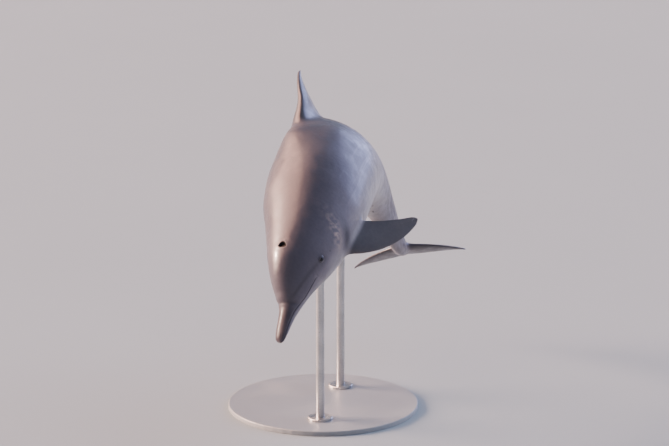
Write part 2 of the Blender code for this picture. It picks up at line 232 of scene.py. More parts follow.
def straightBody():
    s = bodySizes
    coarse = 1
    headRows = int((s["headEnd"] - s["noseRound"]) / s["headStep"] / coarse)
    bodyRows = int((s["tailEnd"] - s["headEnd"]) / s["bodyStep"] / coarse)
    places = np.concatenate([
        np.linspace(s["noseRound"], s["headEnd"], headRows, endpoint=False),
        np.linspace(s["headEnd"], s["tailEnd"], bodyRows),
    ])
    down = np.linspace(0, 1, s["upperFaces"] // coarse + 1)
    under = np.linspace(0, 1, s["lowerFaces"] // coarse + 1)
    down += s["crowding"] * (np.sin(down * math.pi / 2) - down)
    under += s["crowding"] * (1 - np.cos(under * math.pi / 2) - under)
    split = mouthAngle(places)[:, None]
    angles = np.concatenate([split * down[None, :], split + (math.pi - split) * under[None, 1:]], 1)
    left = surfaceAt(places[:, None], angles)
    right = left[:, -2:0:-1] * np.array([-1, 1, 1])
    rings = np.concatenate([left, right], 1)
    count = rings.shape[1]
    # the rounded nose: shrunken copies of the first ring, then one point
    centre = np.array([0, 0, s["mouth"][0][1]])
    shrunk = []
    for size in s["noseRings"]:
        ring = centre + (rings[0] - centre) * size
        ring[:, 1] = s["noseRound"] * (1 - math.sqrt(1 - size * size))
        shrunk.append(ring)
    rings = np.concatenate([np.array(shrunk), rings])
    points = np.concatenate([rings.reshape(-1, 3), [centre, [0, s["tailEnd"] + s["tailTip"], 0]]])
    faces = gridFaces(len(rings), count)
    last = (len(rings) - 1) * count
    faces += [(j, len(points) - 2, (j + 1) % count) for j in range(count)]
    faces += [(last + j, last + (j + 1) % count, len(points) - 1) for j in range(count)]
    return meshFrom("straightBody", points, faces)


finSizes = {
    "dorsal": {
        "lead": ((0.925, 0.205), (1.205, 0.296), (1.322, 0.458), (1.405, 0.512)),
        "trail": ((1.500, 0.165), (1.385, 0.285), (1.342, 0.420), (1.412, 0.508)),
        "root": 0.125, "mid": 0.0120, "tip": 0.0036, "flare": 0.46, "fillet": 0.045,
        "leanFrom": 0.267, "leanTo": 0.389, "aside": 0.023, "turn": 0.16, "pivot": 1.300,
    },
    "flukes": {
        "lead": ((2.215, 0.000), (2.270, 0.130), (2.385, 0.235), (2.492, 0.288)),
        "trail": ((2.392, 0.000), (2.445, 0.060), (2.425, 0.200), (2.500, 0.283)),
        "root": 0.024, "mid": 0.012, "tip": 0.003, "flare": 0.25, "fillet": 0.022,
    },
    "flipper": {
        "lead": ((0.000, -0.040), (0.004, 0.160), (0.080, 0.290), (0.205, 0.372)),
        "trail": ((0.170, -0.040), (0.150, 0.100), (0.185, 0.240), (0.225, 0.355)),
        "root": 0.030, "mid": 0.014, "tip": 0.004, "flare": 0.30, "fillet": 0.034,
        "place": (0.128, 0.540, -0.116), "sweep": 20.0, "droop": 48.0, "twist": 23.0,
    },
    # half thickness along the chord, as shares of these powers of it
    "blade": ((2.969, 0.5), (-1.260, 1), (-3.516, 2), (2.843, 3), (-1.036, 4)),
    "thinning": 1.3,
    "edge": 0.0008,
    "tipFrom": 0.93,        # the tips are rounded over the rest of the blade
    "tipCut": 0.42,
    "sections": 64,
    "faces": 26,
}


def bezier(points, t):
    a, b, c, d = (np.asarray(p, float) for p in points)
    return a * (1 - t) ** 3 + 3 * b * t * (1 - t) ** 2 + 3 * c * t * t * (1 - t) + d * t ** 3


def finRings(fin, place, startsFlat=False):
    # closed blade sections from the root to the tip, placed in the straight animal
    coarse = 1
    sections, faces = finSizes["sections"] // coarse, finSizes["faces"] // coarse
    rings = []
    for i in range(sections + 1):
        t = math.sin(math.pi / 2 * i / sections)
        front, back = bezier(fin["lead"], t), bezier(fin["trail"], t)
        past = max(t - finSizes["tipFrom"], 0.0) / (1 - finSizes["tipFrom"])
        cut = (1 - math.sqrt(1 - past ** 2)) * finSizes["tipCut"]
        front, back = front + (back - front) * cut, back + (front - back) * cut
        if startsFlat and i == 0:
            front[1] = back[1] = 0.0
        half = fin["mid"] + (fin["tip"] - fin["mid"]) * t ** finSizes["thinning"]
        half += (fin["root"] - fin["mid"]) * math.exp(-t / fin["flare"] * 2)
        chord = (1 - np.cos(np.linspace(0, 1, faces + 1)[1:] * math.pi)) / 2
        full = sum(share * chord ** power for share, power in finSizes["blade"])
        across = np.maximum(half * full, finSizes["edge"])
        inPlane = front + (back - front) * chord[:, None]
        ring = [place(front[0], front[1], 0.0)]
        ring += [place(p[0], p[1], a) for p, a in zip(inPlane, across)]
        ring += [place(p[0], p[1], -a) for p, a in zip(inPlane[::-1], across[::-1])]
        rings.append(ring)
    return rings


def closedLoft(name, rings):
    count = len(rings[0])
    points = [p for ring in rings for p in ring]
    faces = gridFaces(len(rings), count)
    for start in (0, (len(rings) - 1) * count):
        # an end is closed with a strip across the blade, not with one many-sided face
        ends = list(range(start, start + count))
        half = (count - 1) // 2
        faces.append((ends[0], ends[1], ends[-1]))
        faces += [(ends[j], ends[j + 1], ends[-j - 1], ends[-j]) for j in range(1, half)]
    return meshFrom(name, points, faces)


def flipperPlace(sign):
    s = finSizes["flipper"]
    sweep, droop, twist = (math.radians(s[k]) for k in ("sweep", "droop", "twist"))
    sideways = math.cos(sweep)
    outwardsAxis = Vector((sideways * math.cos(droop), math.sin(sweep), -sideways * math.sin(droop)))
    level = (Vector((0, 1, 0)) - outwardsAxis * outwardsAxis.y).normalized()
    acrossAxis = outwardsAxis.cross(level)
    chordAxis = level * math.cos(twist) + acrossAxis * math.sin(twist)
    acrossAxis = outwardsAxis.cross(chordAxis)

    def place(backwards, outwards, across):
        p = Vector(s["place"]) + chordAxis * backwards + outwardsAxis * outwards + acrossAxis * across
        return (sign * p.x, p.y, p.z)
    return place


def dorsalPlace(backwards, outwards, across):
    # the upper part leans to the animal's left and turns its leading edge that way
    s = finSizes["dorsal"]
    high = float(ramp(outwards, s["leanFrom"], s["leanTo"]))
    return across + high * (s["aside"] - s["turn"] * (backwards - s["pivot"])), backwards, outwards


def straightFins():
    made = {"dorsal": closedLoft("dorsal", finRings(finSizes["dorsal"], dorsalPlace))}
    for side, sign in (("Left", 1), ("Right", -1)):
        name = "flipper" + side
        made[name] = closedLoft(name, finRings(finSizes["flipper"], flipperPlace(sign)))
    left = finRings(finSizes["flukes"], lambda b, o, a: (o, b, a), True)
    right = [[(-x, y, z) for x, y, z in ring] for ring in left[1:]]
    made["flukes"] = closedLoft("flukes", left[:0:-1] + [left[0]] + right)
    return made


def treeOf(mesh):
    bm = bmesh.new()
    bm.from_mesh(mesh)
    tree = BVHTree.FromBMesh(bm)
    bm.free()
    return tree


def joined(meshes):
    bm = bmesh.new()
    for mesh in meshes:
        bm.from_mesh(mesh)
    mesh = bpy.data.meshes.new("fins")
    bm.to_mesh(mesh)
    bm.free()
    return mesh


def heightOver(tree, point):
    # signed distance from a closed surface and the way out of it
    near, normal, _, distance = tree.find_nearest(point)
    if (point - near).dot(normal) < 0:
        return -distance, normal
    return distance, (point - near).normalized() if distance > 1e-5 else normal


filletSizes = {
    "touching": 0.0005,     # a point this near lies on a surface
    "weld": 0.0010,
    "fullTo": 0.55,         # distances from the seam, as shares of the fillet's size
    "endsAt": 1.25,
    "level": 1.05,          # surfaces that cross less than this leaves get no fillet
    "gain": 1.3,
    "rounds": 5,
    "step": 0.9,
    "longestStep": 0.006,
    "shortestWay": 0.3,
    "smoothRounds": 8,
    "smoothFrom": 0.25,
    "smoothing": 0.45,
}


def joinFins(bodyMesh, fins):
    skin = addObject("dolphinSkin", bodyMesh.copy())
    fin = addObject("finCutter", joined(fins.values()))
    join = skin.modifiers.new("join", "BOOLEAN")
    join.operation, join.solver, join.object = "UNION", "EXACT", fin
    bpy.context.view_layer.update()
    mesh = bpy.data.meshes.new_from_object(skin.evaluated_get(bpy.context.evaluated_depsgraph_get()))
    skin.modifiers.clear()
    skin.data = mesh
    bpy.data.objects.remove(fin, do_unlink=True)
    print("skin joined:", len(mesh.polygons), "faces")
    return skin


def nearSeam(bm, finMesh, bodyTree, finTree, fillet):
    # the points that a fillet reaches, each with its share of it, after the seam is welded
    s = filletSizes
    finness = bm.verts.layers.float["finness"]
    corners = np.array([v.co for v in finMesh.vertices])
    low, high = corners.min(0) - fillet, corners.max(0) + fillet
    close, seam = [], []
    for vertex in bm.verts:
        if not all(low[k] < vertex.co[k] < high[k] for k in range(3)):
            continue
        toBody, _ = heightOver(bodyTree, vertex.co)
        toFin, _ = heightOver(finTree, vertex.co)
        if abs(toFin) < s["touching"]:
            vertex[finness] = max(vertex[finness], toBody)
            if abs(toBody) < s["touching"]:
                seam.append(vertex)
        if max(toBody, toFin) < fillet:
            close.append(vertex)
    seamPoints = KDTree(len(seam))
    for i, vertex in enumerate(seam):
        seamPoints.insert(vertex.co, i)
    seamPoints.balance()
    bmesh.ops.remove_doubles(bm, verts=seam, dist=s["weld"])
    close = [(v, seamPoints.find(v.co)[2]) for v in close if v.is_valid]
    close = [(v, 1 - float(ramp(away, s["fullTo"] * fillet, s["endsAt"] * fillet))) for v, away in close]
    return [(v, share) for v, share in close if share > 0]


def drawToFillet(vertex, reach, bodyTree, finTree, fillet):
    # one step of a point towards the rounded surface between the body and a fin
    s = filletSizes
    toBody, outBody = heightOver(bodyTree, vertex.co)
    toFin, outFin = heightOver(finTree, vertex.co)
    # a fillet is as deep as the two surfaces cross, and nothing where they run level
    soft = fillet * reach * min(1.0, max(0.0, s["level"] - outBody.dot(outFin)) * s["gain"])
    if soft < s["touching"]:
        return
    share = max(soft - abs(toBody - toFin), 0.0) / soft
    level = min(toBody, toFin) - share * share * soft / 4
    weight = share / 2 if toBody < toFin else 1 - share / 2
    out = outBody * (1 - weight) + outFin * weight
    if out.length > s["shortestWay"]:
        vertex.co -= out.normalized() * min(max(level, -s["longestStep"]), s["longestStep"]) * s["step"]


def uniteSkin(bodyMesh, fins):
    # the body and its fins as one surface, with soft fillets where they meet
    s = filletSizes
    skin = joinFins(bodyMesh, fins)
    bm = bmesh.new()
    bm.from_mesh(skin.data)
    bodyTree = treeOf(bodyMesh)
    bm.verts.layers.float.new("finness")
    made = 0
    for name, finMesh in fins.items():
        finTree = treeOf(finMesh)
        fillet = finSizes[name.removesuffix("Left").removesuffix("Right")]["fillet"]
        close = nearSeam(bm, finMesh, bodyTree, finTree, fillet)
        for _ in range(s["rounds"]):
            for vertex, reach in close:
                drawToFillet(vertex, reach, bodyTree, finTree, fillet)
        tight = [v for v, reach in close if reach > s["smoothFrom"]]
        for _ in range(s["smoothRounds"]):
            bmesh.ops.smooth_vert(bm, verts=tight, factor=s["smoothing"],
                                  use_axis_x=True, use_axis_y=True, use_axis_z=True)
        made += len(close)
    bmesh.ops.triangulate(bm, faces=[f for f in bm.faces if len(f.verts) > 4])
    bm.to_mesh(skin.data)
    bm.free()
    print("fillets made at", made, "points")
    return skin


mouthSizes = {
    "depth": 0.0026, "width": 0.0019, "sharpness": 1.5,
    "lipRoll": 0.0009, "lipAt": 0.0060, "lipWidth": 0.004,
    "fades": (-0.006, 0.007),               # behind the corner of the mouth
    "cornerLength": 0.016, "cornerHeight": 0.012, "cornerRaised": 0.002,
    "cornerSpread": 0.75, "cornerDepth": 0.0016,
    "foldBehind": 0.012, "foldSlant": 0.35, "foldWidth": 0.0032, "foldHeight": 0.014, "foldDepth": 0.0009,
    "endsBehindEye": 0.1,
}
creaseSizes = {
    "place": 0.171, "depth": 0.0020, "width": 0.0070, "sweep": 0.036, "bow": 1.3,
    "fades": (0.30, 0.62),                  # shares of the way down the head
    "swellBehind": 0.018, "swellWidth": 0.012, "swellHeight": 0.0016,
}
eyeSizes = {
    "place": 0.384, "height": 0.010, "radius": 0.017, "sunk": 0.0115, "gap": 0.0002,
    "clearHeight": 0.035, "clearWidth": 0.62,
    "lidThickness": 0.0018, "lidLength": 0.0128, "lidUpper": 0.0078, "lidLower": 0.0066,
    "lidFillet": 0.0045, "cornerSlope": 0.7,
    "openDepth": 0.0085, "openEdge": (-0.0016, 0.0002),
    "rimAt": 0.0012, "rimWidth": 0.0011, "rimHeight": 0.0005,
    # radius and depth of the folds round the eye, strongest below and behind it
    "folds": ((0.0195, 0.0009), (0.0250, 0.0006), (0.0315, 0.0004)),
    "foldWidth": 0.0013, "foldWave": 0.0012, "foldTurn": 1200, "foldLean": 0.6, "foldFades": (-0.030, 0.012),
    "shade": 0.021,
    "reach": 0.06, "reachOut": 0.02,
}
blowholeSizes = {
    "place": 0.366, "aside": 0.010, "width": 0.036, "length": 0.026, "depth": 0.015, "bow": 0.004,
    "bluntness": 0.02, "endLength": 0.0025,
    # dark: how far the painted shade inside the hole reaches
    "pit": (0.35, 1.05), "dark": (0.88, 1.30),      # shares of the opening
    "rimHeight": 0.0005, "rimAt": 0.0045, "rimWidth": 0.0062,
    "foldBehind": 0.027, "foldWidth": 0.007, "foldLength": 0.022, "foldDepth": 0.0010,
    "reach": 0.05, "above": 0.10,
}
earSizes = {"place": (0.440, -0.004), "radius": 0.0016, "depth": 0.0014, "shade": 1.2, "outside": 0.05}
bellySizes = {
    # distance behind the snout, length, half width, depth, distance from the middle
    "slits": {
        "navel": (1.120, 0.016, 0.0030, 0.0022, 0.0),
        "genital": (1.600, 0.115, 0.0026, 0.0042, 0.0),
        "vent": (1.735, 0.026, 0.0030, 0.0030, 0.0),
        "mammary": (1.625, 0.026, 0.0020, 0.0026, 0.021),
    },
    "sharpness": 1.6, "lipAt": 2.4, "lipWidth": 1.1, "lipHeight": 0.35,
    "below": -0.06,
}
fleshSizes = {
    "swells": ((9.0, 0.6), (21.0, 0.25)),   # scale and share
    "height": 0.0011,
    "grows": (0.12, 0.5),
}
# how strongly shade is painted into the mouth line and the belly slits
recessShadeShares = {"mouth": 0.9, "belly": 0.7}
shoulderSizes = {
    # distance behind the snout, height, slant, half width, half length
    # a warm painted reflection in front of the left flipper, on the left side only
    "warmReflection": (0.524, 0.015, 0.42, 0.027, 0.075),
    # painted shade in the recess before each flipper, fainter on the right
    "flipperShade": (0.572, -0.050, 0.30, 0.032, 0.070),
    "faintOnRight": 0.4,
    "outside": (0.09, 0.13),
}
refineSizes = {
    # the skin is divided once more within each of these distances of the small forms
    "eye": (0.034, 0.024), "blowhole": (0.034, 0.029), "ear": 0.008,
    "belly": (0.034, 0.020), "bellyEnds": 0.016, "bellyBelow": -0.08,
}


def eyeFrame():
    # middle of the eye opening on the left side, with its backward, upward and outward directions
    place, height = eyeSizes["place"], eyeSizes["height"]
    back, belly, _, _ = profileAt(place)
    angle = math.acos((height - (back + belly) / 2) / ((back - belly) / 2))
    step = 0.002
    point = surfaceAt(place, angle)
    along = surfaceAt(place + step, angle) - surfaceAt(place - step, angle)
    down = surfaceAt(place, angle + step) - surfaceAt(place, angle - step)
    out = np.cross(down, along)
    out /= np.linalg.norm(out)
    along /= np.linalg.norm(along)
    up = np.cross(out, along)
    return point, along, up, out


def refine(bm, inside):
    chosen = [e for e in bm.edges if inside((e.verts[0].co + e.verts[1].co) / 2)]
    bmesh.ops.subdivide_edges(bm, edges=chosen, cuts=1, use_grid_fill=True)
    bmesh.ops.triangulate(bm, faces=[f for f in bm.faces if len(f.verts) > 4])


def refineSkin(bm):
    s = refineSizes
    eye = Vector(eyeFrame()[0])
    blowhole = Vector((blowholeSizes["aside"], blowholeSizes["place"], profileAt(blowholeSizes["place"])[0]))
    ear = Vector((0, *earSizes["place"]))
    for eyeReach, blowholeReach in zip(s["eye"], s["blowhole"]):
        refine(bm, lambda p: (Vector((abs(p.x), p.y, p.z)) - eye).length < eyeReach)
        refine(bm, lambda p: (p - blowhole).length < blowholeReach)
    refine(bm, lambda p: abs(p.x) > earSizes["outside"] and (Vector((0, p.y, p.z)) - ear).length < s["ear"])
    for name in ("navel", "genital", "vent"):
        place, length = bellySizes["slits"][name][:2]
        reach = length / 2 + s["bellyEnds"]
        for width in s["belly"]:
            refine(bm, lambda p: abs(p.y - place) < reach and abs(p.x) < width and p.z < s["bellyBelow"])


def mouthRelief(y, z):
    # the mouth line runs round the snout and ends in a small upturned corner with a fold behind it
    s, gape = mouthSizes, bodySizes["gape"]
    onHead = y < eyeSizes["place"] + s["endsBehindEye"]
    over = z - mouthHeight(y)
    reach = (1 - ramp(y - gape, *s["fades"])) * onHead
    groove = np.exp(-np.abs(over / s["width"]) ** s["sharpness"]) * reach
    lips = (bell(over - s["lipAt"], s["lipWidth"]) + bell(over + s["lipAt"], s["lipWidth"])) * reach
    corner = np.hypot((y - gape) / s["cornerLength"], (over - s["cornerRaised"]) / s["cornerHeight"])
    corner = bell(corner, s["cornerSpread"]) * onHead
    foldAt = gape + s["foldBehind"] - over * s["foldSlant"]
    fold = bell(y - foldAt, s["foldWidth"]) * bell(over, s["foldHeight"]) * onHead
    height = s["lipRoll"] * lips - s["depth"] * groove - s["cornerDepth"] * corner - s["foldDepth"] * fold
    return height, groove


def creaseRelief(y, z):
    # crease between the beak and the melon, dying away down the cheeks, and the swell behind it
    s = creaseSizes
    back, belly, _, _ = profileAt(y)
    down = np.clip((back - z) / (back - belly), 0, 1)
    behind = y - s["place"] - s["sweep"] * down ** s["bow"]
    strength = 1 - ramp(down, *s["fades"])
    crease = bell(behind, s["width"]) * strength
    swell = bell(behind - s["swellBehind"], s["swellWidth"]) * strength
    return s["swellHeight"] * swell - s["depth"] * crease, crease


def eyeRelief(points):
    # eyelids over the eyeball, the opening between them and the folds round them, on both sides
    s = eyeSizes
    point, along, up, out = eyeFrame()
    fromEye = np.stack([np.abs(points[:, 0]), points[:, 1], points[:, 2]], -1) - point
    a, b, c = fromEye @ along, fromEye @ up, fromEye @ out
    around = np.hypot(a, b)
    near = (np.abs(c) < s["reachOut"]) & (around < s["reach"])
    shell = s["radius"] + s["lidThickness"]
    lid = np.sqrt(np.maximum(shell * shell - around * around, 0)) - s["sunk"]
    lid = np.where(around < shell, lid, -s["reachOut"])
    share = np.maximum(s["lidFillet"] - np.abs(lid), 0) / s["lidFillet"]
    height = np.maximum(lid, 0) + share * share * s["lidFillet"] / 4

    lidEdge = np.where(b > 0, s["lidUpper"], s["lidLower"]) * np.maximum(1 - (a / s["lidLength"]) ** 2, 0)
    opening = np.where(np.abs(a) < s["lidLength"], np.abs(b) - lidEdge, s["lidLength"])
    opening = np.maximum(opening, (np.abs(a) - s["lidLength"]) * s["cornerSlope"])
    inEye = (1 - ramp(opening, *s["openEdge"])) * near
    height += s["rimHeight"] * bell(opening - s["rimAt"], s["rimWidth"])
    foldShare = ramp(s["foldLean"] * a - b, *s["foldFades"])
    for radius, depth in s["folds"]:
        wave = radius + s["foldWave"] * np.sin(3 * np.arctan2(b, a) + s["foldTurn"] * radius)
        height -= depth * bell(around - wave, s["foldWidth"]) * foldShare
    return height * near - s["openDepth"] * inEye, inEye, bell(around, s["shade"]) * near


def blowholeRelief(points):
    # a bowed slit that stands open, with a raised rim and a fold behind it
    s = blowholeSizes
    x, y, z = points.T
    halfWidth = s["width"] / 2
    aside = x - s["aside"]
    t = np.clip(aside / halfWidth, -1, 1)
    halfLength = s["length"] / 2 * np.sqrt(np.maximum(1 - t * t, s["bluntness"]))
    away = np.abs(y - s["place"] + s["bow"] * t * t)
    beyond = np.maximum(np.abs(aside) - halfWidth, 0)
    outwards = np.hypot(away / halfLength, beyond / s["endLength"])
    onTop = (z > s["above"]) & (np.abs(y - s["place"]) < s["reach"]) & (np.abs(x) < s["reach"])
    pit = (1 - ramp(outwards, *s["pit"])) * onTop
    # the painted shade inside the hole
    inside = (1 - ramp(outwards, *s["dark"])) * onTop
    edge = np.hypot(np.maximum(away - halfLength, 0), beyond)
    rim = bell(edge - s["rimAt"], s["rimWidth"]) * (1 - inside)
    fold = bell(y - s["place"] - s["foldBehind"], s["foldWidth"]) * bell(aside, s["foldLength"])
    return (s["rimHeight"] * rim - s["foldDepth"] * fold) * onTop - s["depth"] * pit, inside


def earRelief(points):
    s = earSizes
    away = np.hypot(points[:, 1] - s["place"][0], points[:, 2] - s["place"][1])
    away = np.where(np.abs(points[:, 0]) > s["outside"], away, 1.0)
    return -s["depth"] * bell(away, s["radius"]), bell(away, s["radius"] * s["shade"])


def bellyRelief(points):
    # short slits with soft raised edges
    s = bellySizes
    height, marks = np.zeros(len(points)), np.zeros(len(points))
    under = points[:, 2] < s["below"]
    for place, length, width, depth, apart in s["slits"].values():
        beyond = np.maximum(np.abs(points[:, 1] - place) - length / 2, 0)
        outwards = np.hypot((np.abs(points[:, 0]) - apart) / width, beyond / width)
        cut = np.exp(-outwards ** s["sharpness"]) * under
        height += depth * (s["lipHeight"] * bell(outwards - s["lipAt"], s["lipWidth"]) * under - cut)
        marks = np.maximum(marks, cut)
    return height, marks


def shapeDetails(points, normals):
    # every point moved in or out for the small forms, and the masks of the shade painted into them
    y, z = points[:, 1], points[:, 2]
    mouth, groove = mouthRelief(y, z)
    beak, crease = creaseRelief(y, z)
    eyes, inEye, lidShade = eyeRelief(points)
    blowhole, inBlowhole = blowholeRelief(points)
    ears, inEar = earRelief(points)
    belly, slits = bellyRelief(points)
    flesh = np.array([
        sum(noise.noise(Vector(p) * scale) * share for scale, share in fleshSizes["swells"]) for p in points
    ])
    height = mouth + beak + eyes + blowhole + ears + belly
    height += flesh * fleshSizes["height"] * ramp(y, *fleshSizes["grows"])
    # painted shade in the mouth line, the blowhole, the ear pits, the belly slits and the eye openings
    dark = np.maximum.reduce([
        groove * recessShadeShares["mouth"], inBlowhole, inEar, slits * recessShadeShares["belly"], inEye])
    return points + normals * height[:, None], dark, lidShade, crease


def bendPoints(points):
    s = spineSizes
    reach = np.linspace(0, s["end"], s["steps"] + 1)
    behind = column(s["bend"], 0)
    pitch, yaw, twist = (
        np.radians(through(np.minimum(reach, behind[-1]), behind, column(s["bend"], k))) for k in (1, 2, 3)
    )
    ahead = np.stack([np.cos(pitch) * np.sin(yaw), -np.cos(pitch) * np.cos(yaw), -np.sin(pitch)], 1)
    up = np.stack([np.sin(pitch) * np.sin(yaw), -np.sin(pitch) * np.cos(yaw), np.cos(pitch)], 1)
    left = np.cross(up, ahead)
    turnCos, turnSin = np.cos(twist)[:, None], np.sin(twist)[:, None]
    up, left = up * turnCos + left * turnSin, left * turnCos - up * turnSin
    steps = -(ahead[1:] + ahead[:-1]) / 2 * (reach[1] - reach[0])
    centre = np.concatenate([np.zeros((1, 3)), np.cumsum(steps, axis=0)])
    centre = centre - [np.interp(s["balance"], reach, centre[:, k]) for k in range(3)]
    middle, leftwards, upwards = (
        np.stack([np.interp(points[:, 1], reach, table[:, k]) for k in range(3)], 1)
        for table in (centre, left, up)
    )
    bent = middle + points[:, :1] * leftwards + points[:, 2:] * upwards
    pose = (Matrix.Translation((0, 0, s["balanceHeight"]))
            @ Matrix.Rotation(math.radians(s["dive"]), 4, "X")
            @ Matrix.Rotation(-math.radians(s["lean"]), 4, "Y"))
    turn = np.array(pose.to_3x3())
    return bent @ turn.T + np.array(pose.translation)


def readPoints(mesh, what="co"):
    flat = np.zeros(len(mesh.vertices) * 3)
    mesh.vertices.foreach_get(what, flat)
    return flat.reshape(-1, 3)


def keepValues(mesh, name, values):
    # a value or a vector for every vertex, read by the materials under this name
    kind, field = ("FLOAT_VECTOR", "vector") if values.ndim == 2 else ("FLOAT", "value")
    layer = mesh.attributes.new(name, kind, "POINT")
    layer.data.foreach_set(field, np.ascontiguousarray(values, np.float32).ravel())


toneSizes = {
    # the throat and jaw have their own tones, which fade into the body's over these places
    # the throat's tone is darker than its own pale colour, partly painted shade under the head
    "throat": 0.46, "jawUp": 0.11, "aboveMouth": 0.16,
    "mouthEdge": (-0.012, 0.030), "jawFades": (0.28, 0.68),
    "tail": 0.34, "tailFrom": (1.45, 2.10),
    "leastDepth": 0.03,
}
stripeSizes = {
    "width": 0.012, "taper": 0.45, "arch": 0.006, "drop": 0.012,
    "frontGap": 0.02, "startsAt": (0.170, 0.215), "endsBehind": (0.006, 0.039),
    "share": 0.55,
}


def skinTone(points):
    # 0 on the pale belly, 1 on the dark back; the pale throat's tone is raised, partly as painted shade
    # under the head
    s = toneSizes
    y, z = points[:, 1], points[:, 2]
    back, belly, _, _ = profileAt(np.clip(y, 0.0, bodySizes["tailEnd"]))
    high = np.clip((z - belly) / np.maximum(back - belly, s["leastDepth"]), 0, 1)
    jaw = s["throat"] + s["jawUp"] * high + s["aboveMouth"] * ramp(z - mouthHeight(y), *s["mouthEdge"])
    tone = jaw + (high - jaw) * ramp(y, *s["jawFades"])
    return np.clip(tone + s["tail"] * ramp(y, *s["tailFrom"]) * (1 - tone), 0, 1)


def eyeStripe(points):
    # dusky band from the eye to the foot of the melon
    s = stripeSizes
    y, z = points[:, 1], points[:, 2]
    length = eyeSizes["place"] - creaseSizes["place"] - s["frontGap"]
    t = np.clip((eyeSizes["place"] - y) / length, 0, 1)
    line = eyeSizes["height"] + s["arch"] * np.sin(t * math.pi) - s["drop"] * t
    along = ramp(y, *s["startsAt"]) * (1 - ramp(y - eyeSizes["place"], *s["endsBehind"]))
    return bell(z - line, s["width"] * (1 - s["taper"] * t)) * along


def shoulderMark(points, side, sizes):
    y, z = points[:, 1], points[:, 2]
    place, height, slant, halfWidth, halfLength = sizes
    across = (y - place) * math.cos(slant) - (z - height) * math.sin(slant)
    along = (y - place) * math.sin(slant) + (z - height) * math.cos(slant)
    return bell(across, halfWidth) * bell(along, halfLength) * ramp(side, *shoulderSizes["outside"])


def shoulderMarks(points):
    # a warm streak of painted reflection in front of the left flipper, and painted shade in the recess
    # before each flipper
    x, s = points[:, 0], shoulderSizes
    warmReflection = shoulderMark(points, x, s["warmReflection"])
    flipperShade = shoulderMark(points, np.abs(x), s["flipperShade"])
    return warmReflection, flipperShade * np.where(x < 0, s["faintOnRight"], 1)


def finishSkin(skin):
    mesh = skin.data
    bm = bmesh.new()
    bm.from_mesh(mesh)
    refineSkin(bm)
    bmesh.ops.recalc_face_normals(bm, faces=bm.faces)
    bm.to_mesh(mesh)
    bm.free()
    straight = readPoints(mesh)
    shaped, dark, lidShade, crease = shapeDetails(straight, readPoints(mesh, "normal"))
    warmReflection, flipperShade = shoulderMarks(straight)
    for name, values in {
        "straight": straight,
        "tone": skinTone(straight),
        # painted shade in the recesses
        "recessShade": dark,
        "lidShade": np.maximum(lidShade, stripeSizes["share"] * eyeStripe(straight)),
        "creaseShade": crease,
        "warmReflection": warmReflection,
        "flipperShade": flipperShade,
    }.items():
        keepValues(mesh, name, values)
    mesh.vertices.foreach_set("co", bendPoints(shaped).ravel())
    mesh.shade_smooth()
    mesh.update()
    print("skin finished:", len(mesh.polygons), "faces")


def makeEye(side, sign):
    s = eyeSizes
    point, along, up, out = eyeFrame()
    centre = point - out * s["sunk"]
    bm = bmesh.new()
    bmesh.ops.create_uvsphere(bm, u_segments=56, v_segments=36, radius=1.0)
    mesh = bpy.data.meshes.new("eye" + side)
    bm.to_mesh(mesh)
    bm.free()
    ball = readPoints(mesh)
    # the pole looks out; the clear front stands a little proud of the ball
    proud = 1 + s["clearHeight"] * bell(np.arccos(np.clip(ball[:, 2], -1, 1)), s["clearWidth"])
    local = ball * proud[:, None] * (s["radius"] - s["gap"])
    placed = centre + local[:, :1] * along + local[:, 1:2] * up + local[:, 2:] * out
    placed[:, 0] *= sign
    keepValues(mesh, "eyeSpot", ball)
    mesh.vertices.foreach_set("co", bendPoints(placed).ravel())
    if sign * np.dot(np.cross(along, up), out) < 0:
        mesh.flip_normals()
    mesh.shade_smooth()
    mesh.update()
    return addObject("eyeball" + side, mesh)


def addNode(tree, kind, sockets=None, **settings):
    # a node whose sockets take plain values or links from other sockets
    node = tree.nodes.new("ShaderNode" + kind)
    for name, value in settings.items():
        setattr(node, name, value)
    for name, value in (sockets or {}).items():
        if isinstance(value, bpy.types.NodeSocket):
            tree.links.new(value, node.inputs[name])
        else:
            node.inputs[name].default_value = value
    return node


def softStep(tree, value, low, high):
    node = addNode(tree, "MapRange", {
        "Value": value, "From Min": low, "From Max": high}, interpolation_type="SMOOTHSTEP")
    return node.outputs["Result"]


def newGroup(name, **inputs):
    group = bpy.data.node_groups.new(name, "ShaderNodeTree")
    for label, kind in inputs.items():
        group.interface.new_socket(name=label, in_out="INPUT", socket_type="NodeSocket" + kind)
    group.interface.new_socket(name="Mask", in_out="OUTPUT", socket_type="NodeSocketFloat")
    return group, group.nodes.new("NodeGroupInput").outputs, group.nodes.new("NodeGroupOutput")


def noiseMask(group, given, put, vector, scale, detail):
    # noise between the group's two levels
    cloud = addNode(group, "TexNoise", {"Vector": vector, "Scale": scale, "Detail": detail})
    mask = softStep(group, cloud.outputs["Fac"], given["Low"], given["High"])
    group.links.new(mask, put.inputs["Mask"])


def patchGroup():
    # soft uneven patches
    group, given, put = newGroup(
        "unevenPatches", Vector="Vector", Scale="Float", Detail="Float", Low="Float", High="Float")
    noiseMask(group, given, put, given["Vector"], given["Scale"], given["Detail"])
    return group


def lineGroup():
    # long thin marks, drawn out along the axis that Stretch leaves small
    group, given, put = newGroup(
        "drawnLines", Vector="Vector", Stretch="Vector", Turn="Float", Low="Float", High="Float")
    turned = addNode(group, "VectorRotate", {
        "Vector": given["Vector"], "Angle": given["Turn"]}, rotation_type="X_AXIS")
    drawn = addNode(group, "VectorMath", {
        0: turned.outputs["Vector"], 1: given["Stretch"]}, operation="MULTIPLY")
    noiseMask(group, given, put, drawn.outputs["Vector"], scale=1.0, detail=3.0)
    return group


patches, lines = patchGroup(), lineGroup()


def maskFrom(group, tree, vector, sizes):
    # the sizes in the order of the group's inputs
    inputs = dict(enumerate((vector, *sizes)))
    return addNode(tree, "Group", inputs, node_tree=group).outputs["Mask"]


def compute(tree, operation, a, b, clamp=False):
    node = addNode(tree, "Math", {0: a, 1: b}, operation=operation, use_clamp=clamp)
    return node.outputs["Value"]


